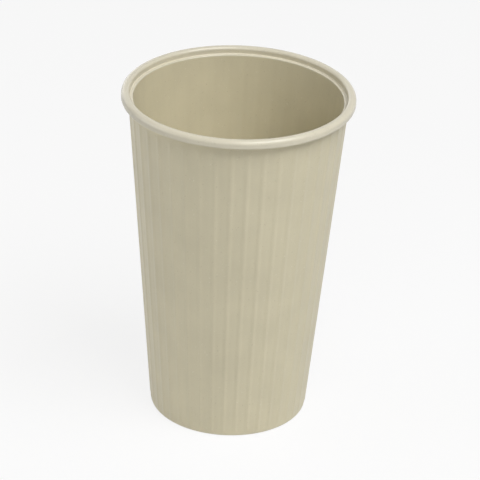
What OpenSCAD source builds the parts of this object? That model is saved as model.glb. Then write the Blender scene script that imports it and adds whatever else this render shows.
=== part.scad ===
// A drinking cup moulded in one piece. Its wall leans outwards and carries fine upright
// ribs, its rim is a rounded bead that a lid presses over, a lid seat runs round inside the
// rim, and its foot is a narrow ring round a shallow recess.
// Sizes are in millimetres, and the cup stands on the plane z = 0 about the Z axis.

/* [Overall] */
// Height from the table to the top of the rim
cup_h = 135; // [100:1:170]
// Diameter across the rim bead
rim_d = 90; // [84:1:98]
// Diameter of the wall at the table, between the ribs
base_d = 61.4; // [50:0.2:70]

/* [Rim] */
// Height of the rim bead
bead_h = 3.4; // [3.2:0.1:5]
// How far the bead stands out from the wall under it
bead_overhang = 3; // [2.4:0.1:4]
// Rounding of the bead's upper outer edge
bead_round = 1.6; // [0.6:0.1:1.8]
// Rounding of the bead's lower outer edge
bead_low_round = 0.7; // [0.4:0.1:1.2]
// Fillet between the bead's underside and the wall
bead_fillet = 0.4; // [0.2:0.1:0.8]
// Depth of the lid seat below the rim
seat_depth = 2.7; // [2:0.1:2.8]
// Width of the level lid seat
seat_w = 1.3; // [0.8:0.1:1.6]
// Rounding of the lid seat's inner edge
seat_round = 0.4; // [0.2:0.1:0.6]
// Rounding of the rim's inner edge
lip_round = 1.2; // [0.3:0.1:1.4]

/* [Wall and floor] */
// Thickness of the wall between the ribs
wall = 1.6; // [1.2:0.1:3]
// Thickness of the floor
floor_t = 1.9; // [1.2:0.1:4]
// Round between the floor and the wall, inside
floor_round = 4; // [1:0.5:8]

/* [Foot] */
// Depth of the recess under the floor
recess_depth = 3; // [1.5:0.5:6]
// Width of the foot ring at the table, before its edge is rounded
foot_w = 3; // [2.6:0.1:5]
// Rounding of the foot's outer edge
foot_round = 1.5; // [0.5:0.1:2]
// Round between the recess's side and its ceiling
recess_round = 1; // [0.5:0.1:1.4]

/* [Ribs] */
// Number of upright ribs round the wall
rib_count = 42; // [24:1:60]
// Width of a rib at the top of the wall
rib_w = 2.7; // [1.6:0.1:4]
// Height of a rib over the top of the wall
rib_h = 0.3; // [0.2:0.05:0.6]
// Plain wall between the bead and the ribs
rib_top_gap = 2.5; // [1:0.5:20]
// Plain wall between the table and the ribs
rib_foot_gap = 1.5; // [1.5:0.5:20]
// Length over which a rib's end slopes down to the wall
rib_end = 1.5; // [0.5:0.1:4]

/* [Hidden] */

// Warm greyish beige of the moulded plastic
cup_colour = [0.78, 0.76, 0.67];
// Slope of the recess's side, which lets the cup leave its mould
recess_draft = 0.1;
// Share of a rib's height by which its ends dip under the wall
rib_dip = 1.5;
// Overlap that carries a cut clear of the surface it opens
over = 1;
// Facets in a full turn of the cup, and of one rib
$fn = 180;
rib_fn = 32;

// Heights of the bead's underside, the lid seat and the floor's upper side
bead_z = cup_h - bead_h;
seat_z = cup_h - seat_depth;
floor_z = recess_depth + floor_t;

// Radii of the rim, of the wall just under the bead and of the wall at the table
rim_r = rim_d / 2;
shoulder_r = rim_r - bead_overhang;
base_r = base_d / 2;

// Lean of the wall: its gain in radius for each millimetre of height
wall_slope = (shoulder_r - base_r) / bead_z;
wall_lean = atan(wall_slope);
function outer_r(z) = base_r + wall_slope * z;
function inner_r(z) = outer_r(z) - wall / cos(wall_lean);

// The collar above the lid seat, and the width of rim that it leaves
collar_r = inner_r(seat_z) + seat_w;
lip_w = rim_r - collar_r;
// Upper rounding of the bead, kept clear of the rim's inner rounding
bead_r = min(bead_round, lip_w - lip_round);

// The wall is part of a cone whose point lies under the table. Each rib is a slender cone
// with the same point, so it narrows and flattens towards the foot as the wall does.
point_z = -base_r / wall_slope;
rib_from = (rib_foot_gap - point_z) / cos(wall_lean);
rib_to = (bead_z - rib_top_gap - point_z) / cos(wall_lean);
// Radius of the round section that is rib_w wide and rib_h high where it leaves the wall
rib_top_r = (rib_w * rib_w / 4 + rib_h * rib_h) / (2 * rib_h);
rib_lean = wall_lean - asin((rib_top_r - rib_h) / rib_to);
function rib_r(along) = rib_top_r * along / rib_to;
function rib_bury(along) = rib_dip * rib_h * along / rib_to;

// Half section from the axis out to a leaning wall, with a round at its lower corner.
// The wall starts at radius r on the level line y = 0.
module tapered_section(r, slope, h, corner) {
    lean = atan(slope);
    centre = [r + slope * corner - corner / cos(lean), corner];
    touch = centre + corner * [cos(lean), -sin(lean)];
    polygon([[0, 0], [centre.x, 0], centre, touch, [r + slope * h, h], [0, h]]);
    translate(centre) circle(r = corner);
}

// The sliver that rounds the corner between a leaning wall and a level line above it.
// The corner is at radius r on the line y = 0, and the wall runs down from it.
module corner_sliver(r, slope, corner) {
    lean = atan(slope);
    centre = [r - slope * corner + corner / cos(lean), -corner];
    touch = centre + corner * [-cos(lean), sin(lean)];
    difference() {
        polygon([[r, 0], [centre.x, 0], centre, touch]);
        translate(centre) circle(r = corner);
    }
}

// Outline of the wall as if the cup were solid, down to its rounded foot
module body_section() {
    tapered_section(base_r, wall_slope, bead_z, foot_round);
}

// Outline of the rim bead as if the cup were solid, with the fillet under it
module rim_section() {
    low = [rim_r - bead_low_round, bead_z + bead_low_round];
    high = [rim_r - bead_r, cup_h - bead_r];
    polygon([
        [0, bead_z], [low.x, bead_z], low, [rim_r, low.y],
        [rim_r, high.y], high, [high.x, cup_h], [0, cup_h]
    ]);
    translate(low) circle(r = bead_low_round);
    translate(high) circle(r = bead_r);
    translate([0, bead_z]) corner_sliver(shoulder_r, wall_slope, bead_fillet);
}

// Outline of the space for the drink, with the lid seat and the collar above it
module inside_section() {
    translate([0, floor_z])
        tapered_section(inner_r(floor_z), wall_slope, seat_z - floor_z, floor_round);
    translate([0, seat_z]) square([collar_r, seat_depth + over]);
    translate([0, seat_z]) corner_sliver(inner_r(seat_z), wall_slope, seat_round);
    translate([0, cup_h]) corner_sliver(collar_r, 0, lip_round);
}

// Outline of the recess under the floor, which leaves the foot ring
module recess_section() {
    ceiling_r = base_r - foot_w - recess_draft * recess_depth;
    translate([0, recess_depth]) mirror([0, 1])
        tapered_section(ceiling_r, recess_draft, recess_depth + over, recess_round);
}

// One rib about its own axis, from the cone's point up, with both ends sloped
module rib() {
    low = rib_from + rib_end;
    high = rib_to - rib_end;
    rotate_extrude($fn = rib_fn)
        polygon([
            [0, rib_from],
            [rib_r(rib_from) - rib_bury(rib_from), rib_from],
            [rib_r(low), low],
            [rib_r(high), high],
            [rib_r(rib_to) - rib_bury(rib_to), rib_to],
            [0, rib_to]
        ]);
}

module ribs() {
    for (i = [0 : rib_count - 1])
        rotate([0, 0, i * 360 / rib_count])
            translate([0, 0, point_z])
                rotate([0, rib_lean, 0])
                    rib();
}

module cup() {
    color(cup_colour)
        difference() {
            union() {
                rotate_extrude() body_section();
                rotate_extrude() rim_section();
                ribs();
            }
            rotate_extrude() inside_section();
            rotate_extrude() recess_section();
        }
}

cup();
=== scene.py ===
# %% [markdown]
# Dressing a ribbed cup
#
# The object is a drinking cup moulded in one piece from a matt, warm beige plastic. The
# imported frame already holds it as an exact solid. This file keeps that solid's sizes, works
# out one smooth surface for the whole cup with numpy, gives it a moulded plastic finish and
# lights it as a plain studio picture. Lengths are in metres.

import bpy
import numpy as np
from mathutils import Matrix, Vector


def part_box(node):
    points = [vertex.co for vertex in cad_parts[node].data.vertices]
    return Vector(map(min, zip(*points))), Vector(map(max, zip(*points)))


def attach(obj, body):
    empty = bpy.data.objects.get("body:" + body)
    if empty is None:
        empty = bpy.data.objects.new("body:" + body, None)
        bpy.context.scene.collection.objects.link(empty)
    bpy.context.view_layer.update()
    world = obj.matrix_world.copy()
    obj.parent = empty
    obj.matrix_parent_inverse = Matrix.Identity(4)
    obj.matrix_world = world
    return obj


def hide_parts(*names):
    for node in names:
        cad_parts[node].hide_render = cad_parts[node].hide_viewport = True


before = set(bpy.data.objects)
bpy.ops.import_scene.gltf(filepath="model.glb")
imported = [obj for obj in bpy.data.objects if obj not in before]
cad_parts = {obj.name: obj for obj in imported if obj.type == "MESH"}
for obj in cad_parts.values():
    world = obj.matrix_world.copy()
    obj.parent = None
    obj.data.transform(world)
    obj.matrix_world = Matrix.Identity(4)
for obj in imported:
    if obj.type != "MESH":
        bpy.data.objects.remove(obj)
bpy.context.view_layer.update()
cup_low, cup_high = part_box("cup")
print("packed cup", [round(v * 1000, 2) for v in cup_high - cup_low], "mm")

# %% [markdown]
# Sizes
#
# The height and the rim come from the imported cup, so the dressed one can't drift from it.
# The others are the cup's own sizes, written once here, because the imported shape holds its
# walls and rounds only as facets. A cup moulded in one shot needs an even wall, so nearly
# everything inside follows from the outside and one thickness.

# %% Driving sizes
mm = 0.001
cup_h = cup_high.z
rim_r = cup_high.x
base_r = 30.7 * mm
wall = 1.6 * mm

bead_h = 3.4 * mm
bead_overhang = 3 * mm
bead_round = 1.6 * mm
bead_low_round = 0.7 * mm
bead_fillet = 0.4 * mm

seat_depth = 2.7 * mm
seat_w = 1.3 * mm
seat_round = 0.4 * mm
lip_round = 1.2 * mm
inner_corner = 0.2 * mm

floor_z = 4.9 * mm
floor_round = 4 * mm
recess_depth = 3 * mm
recess_round = 1 * mm
recess_draft = 0.1
foot_w = 3 * mm
foot_round = 1.5 * mm
foot_edge = 0.3 * mm

rib_top_gap = 2.5 * mm
rib_foot_gap = 1.5 * mm
rib_end = 1.5 * mm

# %% Lean of the wall
bead_z = cup_h - bead_h
seat_z = cup_h - seat_depth
shoulder_r = rim_r - bead_overhang
wall_slope = (shoulder_r - base_r) / bead_z
wall_lean = np.arctan(wall_slope)
point_z = -base_r / wall_slope


def outer_r(z):
    """Radius of the outer wall between the ribs: the foot's radius plus slope times height."""
    return base_r + wall_slope * z


def inner_r(z):
    """Radius of the inner wall: the outer one less the wall's thickness, measured level."""
    return outer_r(z) - wall / np.cos(wall_lean)


collar_r = inner_r(seat_z) + seat_w
print("wall leans %.2f degrees, collar %.1f mm across" % (np.degrees(wall_lean), 2000 * collar_r))

# %% [markdown]
# The section
#
# A moulded cup is a turned form, so half its section says nearly everything. One could
# draw that section as a curve and spin it, but a spun mesh can't carry ribs. Here the
# section is a list of straight stretches and arcs, walked once round the material: out
# under the floor, up the outside, over the rim and down the inside. Each stretch knows
# its name, which later tells the ribs where the outer wall is. Even steps up a wall this
# tall would either miss the short slopes at the ribs' ends or cost thousands of points, so
# the two long walls are stepped between the heights at which something starts or ends.

# %% Straight stretches and arcs
def straight(start, end, steps):
    """Evenly spaced points from start towards end, without end itself."""
    share = np.linspace(0, 1, steps, endpoint=False)[:, None]
    return np.asarray(start) + share * (np.asarray(end) - np.asarray(start))


def stepped(start, end, heights, steps):
    """Points between start and end at the given heights, with each gap in that many steps.

    A point's share of the line is the height it has gained over the line's whole gain.
    """
    stops = [start[1], *heights, end[1]]
    places = np.arange(1, (len(stops) - 1) * steps) / steps
    level = np.interp(places, np.arange(len(stops)), stops)
    share = (level - start[1]) / (end[1] - start[1])
    return start + share[:, None] * (end - start)


def arc(centre, radius, first, last, steps):
    """Points centre + radius * (cos a, sin a), with a from first to last in degrees."""
    a = np.radians(np.linspace(first, last, steps))[:, None]
    return np.asarray(centre) + radius * np.hstack([np.cos(a), np.sin(a)])


def rounding_centre(r, z, slope, radius, side_r, side_z):
    """Centre of a round that touches a leaning wall and a level line through (r, z).

    It lies one radius from the level line, and one radius from the wall measured square
    to the wall, which is radius / cos(lean) measured level. side_r and side_z, each 1 or
    -1, say on which side of the two lines it lies.
    """
    lean = np.arctan(slope)
    return r + slope * side_z * radius + side_r * radius / np.cos(lean), z + side_z * radius


# %% Centres of the cup's rounds
lean_deg = np.degrees(wall_lean)
draft_deg = np.degrees(np.arctan(recess_draft))
recess_r = base_r - foot_w
ceiling_r = recess_r - recess_draft * recess_depth

foot_c = rounding_centre(base_r, 0, wall_slope, foot_round, -1, 1)
fillet_c = rounding_centre(shoulder_r, bead_z, wall_slope, bead_fillet, 1, -1)
seat_c = rounding_centre(inner_r(seat_z), seat_z, wall_slope, seat_round, 1, -1)
floor_c = rounding_centre(inner_r(floor_z), floor_z, wall_slope, floor_round, -1, 1)
ceiling_c = rounding_centre(ceiling_r, recess_depth, -recess_draft, recess_round, -1, -1)
edge_c = rounding_centre(recess_r, 0, -recess_draft, foot_edge, 1, 1)
low_bead_c = (rim_r - bead_low_round, bead_z + bead_low_round)
high_bead_c = (rim_r - bead_round, cup_h - bead_round)
lip_c = (collar_r + lip_round, cup_h - lip_round)
corner_c = (collar_r - inner_corner, seat_z + inner_corner)

# %% Arcs in the order in which the section meets them
arcs = {
    "ceiling_round": arc(ceiling_c, recess_round, 90, draft_deg, 7),
    "foot_edge": arc(edge_c, foot_edge, 180 + draft_deg, 270, 5),
    "foot_round": arc(foot_c, foot_round, -90, -lean_deg, 9),
    "bead_fillet": arc(fillet_c, bead_fillet, 180 - lean_deg, 90, 6),
    "low_bead": arc(low_bead_c, bead_low_round, -90, 0, 9),
    "high_bead": arc(high_bead_c, bead_round, 0, 90, 12),
    "lip_round": arc(lip_c, lip_round, 90, 180, 10),
    "seat_corner": arc(corner_c, inner_corner, 0, -90, 4),
    "seat_round": arc(seat_c, seat_round, 90, 180 - lean_deg, 6),
    "floor_round": arc(floor_c, floor_round, -lean_deg, -90, 12),
}
names = list(arcs)

# %% Heights at which the slopes of the ribs and the dips start and end
slopes_at = {
    "foot_round": [rib_foot_gap + rib_end, bead_z - rib_top_gap - rib_end, bead_z - rib_top_gap],
    "seat_round": [seat_z - floor_round, floor_z + 2 * floor_round],
}

# %% The walk from the middle of the underside to the middle of the floor
pole_r = 0.5 * mm
ceiling_steps = 6
wall_steps = 6
short_steps = 4
floor_steps = 9

ceiling_line = straight((pole_r, recess_depth), arcs["ceiling_round"][0], ceiling_steps)
floor_line = straight((pole_r, floor_z), arcs["floor_round"][-1], floor_steps)[::-1]
stretches = [("ceiling", ceiling_line)]
for name, following in zip(names, names[1:]):
    start, end = arcs[name][-1], arcs[following][0]
    if name in slopes_at:
        between = stepped(start, end, slopes_at[name], wall_steps)
    else:
        between = straight(start, end, short_steps)[1:]
    stretches += [(name, arcs[name]), ("after_" + name, between)]
stretches += [("floor_round", arcs["floor_round"]), ("floor", floor_line)]

section = np.vstack([points for _, points in stretches])
stretch_of = np.concatenate([[name] * len(points) for name, points in stretches])
on_wall = stretch_of == "after_foot_round"
on_inside = stretch_of == "after_seat_round"
print("section of", len(section), "points,", on_wall.sum(), "of them up the outer wall")

# %% [markdown]
# The ribs
#
# Fine ribs run up the wall. On the real cup they are grooves cut into the mould, and both
# the wall and each groove narrow towards the foot. So a rib keeps its share of the turn,
# and its height shrinks with the distance from the point of the wall's cone. Separate
# rods sunk into the wall would leave hard creases. Lifting the wall's own points leaves
# one skin, as the mould does. Where the plastic is thicker it shrinks more as it cools,
# so a faint dip follows each rib down the inside.

# %% Rib values
rib_count = 42
rib_w = 2.7 * mm
rib_h = 0.3 * mm
dip_h = 0.06 * mm
dip_widening = 1.3
pitch = 2 * np.pi / rib_count
rib_half = rib_w / 2 / shoulder_r

# %% Angles of the mesh's columns
across_rib = 10
across_band = 4
rib_steps = np.linspace(-1, 1, across_rib, endpoint=False) * rib_half
band_steps = np.linspace(rib_half, pitch - rib_half, across_band, endpoint=False)
one_pitch = np.concatenate([rib_steps, band_steps])
angles = (np.arange(rib_count)[:, None] * pitch + one_pitch).ravel()
print(len(angles), "columns, a rib %.2f degrees wide" % np.degrees(2 * rib_half))


# %% How far the ribs lift the wall
def from_rib(angle):
    """Angle to the centre line of the nearest rib, between plus and minus half a pitch."""
    return (angle + pitch / 2) % pitch - pitch / 2


def crown(x):
    """Rounded crown over -1..1 that meets the wall softly: (1 - x squared) to the power 1.5."""
    return np.clip(1 - x * x, 0, None) ** 1.5


def ease(x):
    """Smooth step from 0 at x = 0 to 1 at x = 1: 3 x squared less 2 x cubed."""
    x = np.clip(x, 0, 1)
    return x * x * (3 - 2 * x)


def rib_lift(angle, z):
    """Height of the ribs over the wall: crown across, cone's taper and two sloped ends along."""
    taper = (z - point_z) / (bead_z - rib_top_gap - point_z)
    low_end = ease((z - rib_foot_gap) / rib_end)
    high_end = ease((bead_z - rib_top_gap - z) / rib_end)
    return rib_h * taper * low_end * high_end * crown(from_rib(angle) / rib_half)


def dip_depth(angle, z):
    """Depth of the dips behind the ribs: the ribs' own pattern, wider, lower and softer."""
    taper = (z - point_z) / (bead_z - point_z)
    ends = ease((z - floor_z) / floor_round - 1) * ease((seat_z - z) / floor_round)
    return dip_h * taper * ends * crown(from_rib(angle) / (dip_widening * rib_half))


# %% [markdown]
# One skin for the whole cup
#
# Every point of the section is turned through every angle, which gives a grid of points
# with rows along the section and columns round the turn. The ribs and the dips push the
# wall's points out square to the wall. The grid closes on itself round the turn, and a
# single point closes each of its two ends on the axis.

# %% The grid of points
r = section[:, 0, None]
z = section[:, 1, None]
lift = np.where(on_wall[:, None], rib_lift(angles, z), 0)
lift = np.where(on_inside[:, None], dip_depth(angles, z), lift)
radius = r + lift * np.cos(wall_lean)
height = z - lift * np.sin(wall_lean)
grid = np.stack([radius * np.cos(angles), radius * np.sin(angles), height + 0 * radius], -1)
print("grid", grid.shape[:2], "ribs lift by up to %.2f mm" % (1000 * lift.max()))


# %% The mesh
def skin(name, points, first_pole, last_pole):
    """Closed mesh from a grid that wraps round its columns, with a fan to a pole at each end."""
    rows, columns = points.shape[:2]
    index = np.arange(rows * columns).reshape(rows, columns)
    beside = np.roll(index, -1, axis=1)
    quads = np.stack([index[:-1], beside[:-1], beside[1:], index[1:]], -1).reshape(-1, 4)
    first, last = rows * columns, rows * columns + 1
    first_fan = np.stack([beside[0], index[0], np.full(columns, first)], -1)
    last_fan = np.stack([index[-1], beside[-1], np.full(columns, last)], -1)
    vertices = np.vstack([points.reshape(-1, 3), first_pole, last_pole])
    mesh = bpy.data.meshes.new(name)
    mesh.from_pydata(vertices, [], quads.tolist() + first_fan.tolist() + last_fan.tolist())
    mesh.validate()
    mesh.shade_smooth()
    piece = bpy.data.objects.new(name, mesh)
    bpy.context.scene.collection.objects.link(piece)
    return piece


cup = skin("cup_body", grid, (0, 0, recess_depth), (0, 0, floor_z))
triangles = sum(len(p.vertices) - 2 for p in cup.data.polygons)
print("cup mesh of", triangles, "triangles")
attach(cup, "root")
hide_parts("cup")

# %% [markdown]
# The finish
#
# The plastic is matt and coloured right through. A natural filler is mixed into it, so the
# colour isn't quite even. It clouds a little over a centimetre or so, it is drawn into
# faint upright streaks where the melt ran up the mould, and fine pale and dark specks sit
# in it. The mould's surface leaves a soft grain, and the gloss is a little higher in some
# places than in others. The rim, from the bead to the lid seat, is smoother: the part of the
# mould that shapes it is polished. There the colour is also painted paler and less yellow, a
# painted sheen for the whiter look that light and reflections give the rim. A picture
# wrapped round the cup could hold all this, but it would have a seam
# and one fixed sharpness. Here noise worked out from each point's own place gives the
# pattern, so it runs through the rim and down the inside without a seam.

# %% Colours and scales of the finish
wall_colour = np.array([0.696, 0.636, 0.453])
# Painted sheen: the rim's colour is the wall's made paler and bluer, standing in for the whiter
# look that light and reflections give the rim.
painted_sheen_rim_colour = wall_colour * [1.02, 1.04, 1.15]
cloud_shade = 0.06
streak_shade = 0.02
dark_speck = np.array([0.40, 0.34, 0.22])
pale_speck = np.array([0.80, 0.76, 0.62])

cloud_scale = 70
streak_scale = 260
streak_stretch = 0.05
speck_scale = 1500
noise_low, noise_high = 0.3, 0.7
dark_from, dark_full, dark_share = 0.70, 0.78, 0.35
pale_full, pale_from, pale_share = 0.22, 0.30, 0.5

gloss_scale = 140
smooth_place = 0.36
matt_place = 0.46
rim_roughness = 0.26
ripple_scale = 160
ripple_depth = 0.02 * mm
grain_scale = 2600
grain_depth = 0.006 * mm
print("colours of wall and rim", wall_colour.round(3), painted_sheen_rim_colour.round(3))


# %% Node helpers
def add_node(tree, kind, **inputs):
    """A node of that kind, with its named sockets set to values or linked to other outputs."""
    node = tree.nodes.new(kind)
    for name, value in inputs.items():
        socket = node.inputs[name.replace("_", " ")]
        if isinstance(value, bpy.types.NodeSocket):
            tree.links.new(value, socket)
        else:
            socket.default_value = value
    return node


def noise(tree, place, scale, detail=2.0):
    """Soft noise from 0 to 1 whose blotches are about one over scale across, in metres."""
    node = add_node(tree, "ShaderNodeTexNoise", Vector=place, Scale=scale, Detail=detail)
    return node.outputs["Fac"]


def ramp(tree, source, low, high):
    """Colour ramp that reads source and runs from the first (place, colour) to the second."""
    node = add_node(tree, "ShaderNodeValToRGB", Fac=source)
    for stop, (place, colour) in zip(node.color_ramp.elements, (low, high)):
        stop.position = place
        stop.color = (*colour, 1)
    return node.outputs["Color"]


def grey(level):
    """The same level for red, green and blue."""
    return (level, level, level)


def blend(tree, kind, share, first, second):
    """Colour mix of two outputs or colours, by the given kind and share."""
    node = tree.nodes.new("ShaderNodeMix")
    node.data_type = "RGBA"
    node.blend_type = kind
    colour_sockets = [socket for socket in node.inputs if socket.type == "RGBA"]
    for socket, value in zip([node.inputs[0], *colour_sockets], (share, first, second)):
        if isinstance(value, bpy.types.NodeSocket):
            tree.links.new(value, socket)
        else:
            socket.default_value = value
    return next(output for output in node.outputs if output.type == "RGBA")


# %% Colour of the plastic
def smooth_and_painted_sheen_share(tree, place):
    """0 up to the bead's underside and 1 from half a millimetre above it, by height: it makes the
    rim smoother and lays the rim's painted sheen on it.
    """
    height = add_node(tree, "ShaderNodeSeparateXYZ", Vector=place).outputs["Z"]
    return add_node(tree, "ShaderNodeMapRange", Value=height,
                    From_Min=bead_z, From_Max=bead_z + 0.5 * mm).outputs["Result"]


def plastic_colour(tree, place):
    """Wall colour, or on the rim the wall colour with a painted paler sheen, times clouds times
    streaks, with sparse specks laid over.
    """
    base = ramp(tree, smooth_and_painted_sheen_share(tree, place), (0, wall_colour), (1, painted_sheen_rim_colour))
    clouds = ramp(tree, noise(tree, place, cloud_scale, 3.0),
                  (noise_low, grey(1 - cloud_shade)), (noise_high, grey(1)))
    stretch = add_node(tree, "ShaderNodeMapping", Vector=place, Scale=(1, 1, streak_stretch))
    streaks = ramp(tree, noise(tree, stretch.outputs["Vector"], streak_scale),
                   (noise_low, grey(1 - streak_shade)), (noise_high, grey(1)))
    colour = blend(tree, "MULTIPLY", 1.0, base, clouds)
    colour = blend(tree, "MULTIPLY", 1.0, colour, streaks)
    specks = noise(tree, place, speck_scale, 1.0)
    dark = ramp(tree, specks, (dark_from, grey(0)), (dark_full, grey(dark_share)))
    colour = blend(tree, "MIX", dark, colour, (*dark_speck, 1))
    pale = ramp(tree, specks, (pale_full, grey(pale_share)), (pale_from, grey(0)))
    return blend(tree, "MIX", pale, colour, (*pale_speck, 1))


# %% The moulded plastic
def moulded_plastic():
    """Matt plastic: clouded colour, fine specks, soft grain and a low, uneven gloss."""
    material = bpy.data.materials.new("moulded_plastic")
    material.use_nodes = True
    tree = material.node_tree
    place = tree.nodes.new("ShaderNodeTexCoord").outputs["Object"]
    shader = tree.nodes["Principled BSDF"]
    shader.inputs["IOR"].default_value = 1.5
    tree.links.new(plastic_colour(tree, place), shader.inputs["Base Color"])
    wall_gloss = ramp(tree, noise(tree, place, gloss_scale),
                      (noise_low, grey(smooth_place)), (noise_high, grey(matt_place)))
    gloss = blend(tree, "MIX", smooth_and_painted_sheen_share(tree, place), wall_gloss, (*grey(rim_roughness), 1))
    tree.links.new(gloss, shader.inputs["Roughness"])
    ripple = add_node(tree, "ShaderNodeBump", Height=noise(tree, place, ripple_scale),
                      Strength=1.0, Distance=ripple_depth)
    grain = add_node(tree, "ShaderNodeBump", Height=noise(tree, place, grain_scale, 1.0),
                     Strength=1.0, Distance=grain_depth, Normal=ripple.outputs["Normal"])
    tree.links.new(grain.outputs["Normal"], shader.inputs["Normal"])
    return material


plastic = moulded_plastic()
cup.data.materials.append(plastic)
print("plastic of", len(plastic.node_tree.nodes), "nodes")

# %% [markdown]
# The studio
#
# The picture was taken on white, from the front and a little above, with a long lens. A
# camera fitted to the cup's outline gives the height, distance and lens, and shows that it
# was tipped by two degrees. One could set the camera by eye and turn the cup under it, but
# the cup belongs on its own axis. So the camera is built from its three directions, tip
# and all, and it alone is moved.

# %% Camera
camera_rise = np.radians(27.22)
camera_tip = np.radians(2.19)
camera_turn = np.radians(-2.0)
camera_distance = 1.235
focal_pixels = 3151.2
picture_pixels = 480
cup_left_of_middle = 6.9
cup_below_middle = 8.14
sensor_mm = 36

back = np.array([
    np.sin(camera_turn) * np.cos(camera_rise),
    -np.cos(camera_turn) * np.cos(camera_rise),
    np.sin(camera_rise),
])
level_right = np.array([np.cos(camera_turn), np.sin(camera_turn), 0])
level_up = np.cross(back, level_right)
right = np.cos(camera_tip) * level_right + np.sin(camera_tip) * level_up
up = np.cross(back, right)
metres_a_pixel = camera_distance / focal_pixels
aim = np.array([0, 0, cup_h / 2])
aim = aim + (right * cup_left_of_middle + up * cup_below_middle) * metres_a_pixel

camera_data = bpy.data.cameras.new("camera")
camera_data.sensor_width = sensor_mm
camera_data.lens = focal_pixels * sensor_mm / picture_pixels
camera = bpy.data.objects.new("camera", camera_data)
turned = Matrix(np.stack([right, up, back], 1).tolist()).to_4x4()
camera.matrix_world = Matrix.Translation(Vector(aim + back * camera_distance)) @ turned
bpy.context.scene.collection.objects.link(camera)
bpy.context.scene.camera = camera
print("lens of %.0f mm from %.2f m" % (camera_data.lens, camera_distance))

# %% [markdown]
# The white floor
#
# A white studio picture has a floor so bright that it leaves the paper white. Lamps strong
# enough for that would wash out the cup. So the floor is a plain pale sheet, and whatever
# looks straight at it sees it mostly as a white that gives off its own light. The rest of
# its look is still its lit surface, which keeps the cup's soft shadow. For the light that
# bounces up on to the cup it stays an ordinary sheet.

# %% Rays that look at something
def looked_at(tree):
    """Largest of three ray tests: 1 for the camera's, gloss and glass rays, and 0 for others."""
    path = tree.nodes.new("ShaderNodeLightPath")
    seen = path.outputs["Is Camera Ray"]
    for kind in ("Is Glossy Ray", "Is Transmission Ray"):
        larger = tree.nodes.new("ShaderNodeMath")
        larger.operation = "MAXIMUM"
        tree.links.new(seen, larger.inputs[0])
        tree.links.new(path.outputs[kind], larger.inputs[1])
        seen = larger.outputs[0]
    return seen


# %% Floor
floor_half = 3.0
floor_level = 0.85
floor_roughness = 0.9
floor_own_light = 0.85

floor_mesh = bpy.data.meshes.new("floor_sheet")
floor_mesh.from_pydata(
    [(-floor_half, -floor_half, 0), (floor_half, -floor_half, 0),
     (floor_half, floor_half, 0), (-floor_half, floor_half, 0)], [], [(0, 1, 2, 3)])
floor_sheet = bpy.data.objects.new("floor_sheet", floor_mesh)
bpy.context.scene.collection.objects.link(floor_sheet)

floor_material = bpy.data.materials.new("floor_sheet")
floor_material.use_nodes = True
tree = floor_material.node_tree
lit = tree.nodes["Principled BSDF"]
lit.inputs["Base Color"].default_value = (*grey(floor_level), 1)
lit.inputs["Roughness"].default_value = floor_roughness
glow = add_node(tree, "ShaderNodeEmission", Color=(1, 1, 1, 1), Strength=1.0)
share = tree.nodes.new("ShaderNodeMath")
share.operation = "MULTIPLY"
tree.links.new(looked_at(tree), share.inputs[0])
share.inputs[1].default_value = floor_own_light
floor_look = tree.nodes.new("ShaderNodeMixShader")
tree.links.new(share.outputs[0], floor_look.inputs[0])
tree.links.new(lit.outputs[0], floor_look.inputs[1])
tree.links.new(glow.outputs[0], floor_look.inputs[2])
tree.links.new(floor_look.outputs[0], tree.nodes["Material Output"].inputs["Surface"])
floor_mesh.materials.append(floor_material)


# %% [markdown]
# The lamps
#
# The cup's right front is its brightest side, its shading is soft all round, and the
# shadow under the rim is short. So the main light is a large square lamp high at the right
# front. A weak one in front and a low one at the left lift the shaded side and the ribs
# there. One more behind the cup, low enough not to glint on the rim, shows its back. A
# picture of a studio wrapped round the scene could give such light too, but its lamps
# couldn't be moved one by one.

# %% Lamps
def softbox(name, azimuth, elevation, distance, size, power):
    """Square area lamp aimed at the cup, from that azimuth (0 is the front, 90 the right)."""
    a, e = np.radians(azimuth), np.radians(elevation)
    towards = Vector((np.sin(a) * np.cos(e), -np.cos(a) * np.cos(e), np.sin(e)))
    data = bpy.data.lights.new(name, "AREA")
    data.size = size
    data.energy = power
    lamp = bpy.data.objects.new(name, data)
    lamp.location = Vector((0, 0, cup_h / 2)) + towards * distance
    lamp.rotation_euler = towards.to_track_quat("Z", "Y").to_euler()
    bpy.context.scene.collection.objects.link(lamp)
    return lamp


# Azimuth and elevation in degrees, distance and edge in metres, power in watts
lamps = [
    softbox("key", 45, 60, 1.2, 0.8, 13.0),
    softbox("front", 0, 40, 1.2, 0.8, 2.3),
    softbox("left_fill", -90, 15, 1.2, 0.8, 3.9),
    softbox("back_fill", -155, 8, 1.2, 0.8, 2.1),
]
print(len(lamps), "lamps")

# %% [markdown]
# The white round the floor
#
# Above and beside the floor the picture is white too. A white sky would light the cup from
# every side and flatten it, so this one is white only for what looks at it.

# %% World
world = bpy.data.worlds.new("studio")
bpy.context.scene.world = world
world.use_nodes = True
sky = world.node_tree.nodes["Background"]
sky.inputs["Color"].default_value = (1, 1, 1, 1)
world.node_tree.links.new(looked_at(world.node_tree), sky.inputs["Strength"])

bpy.context.scene.view_settings.view_transform = "Standard"
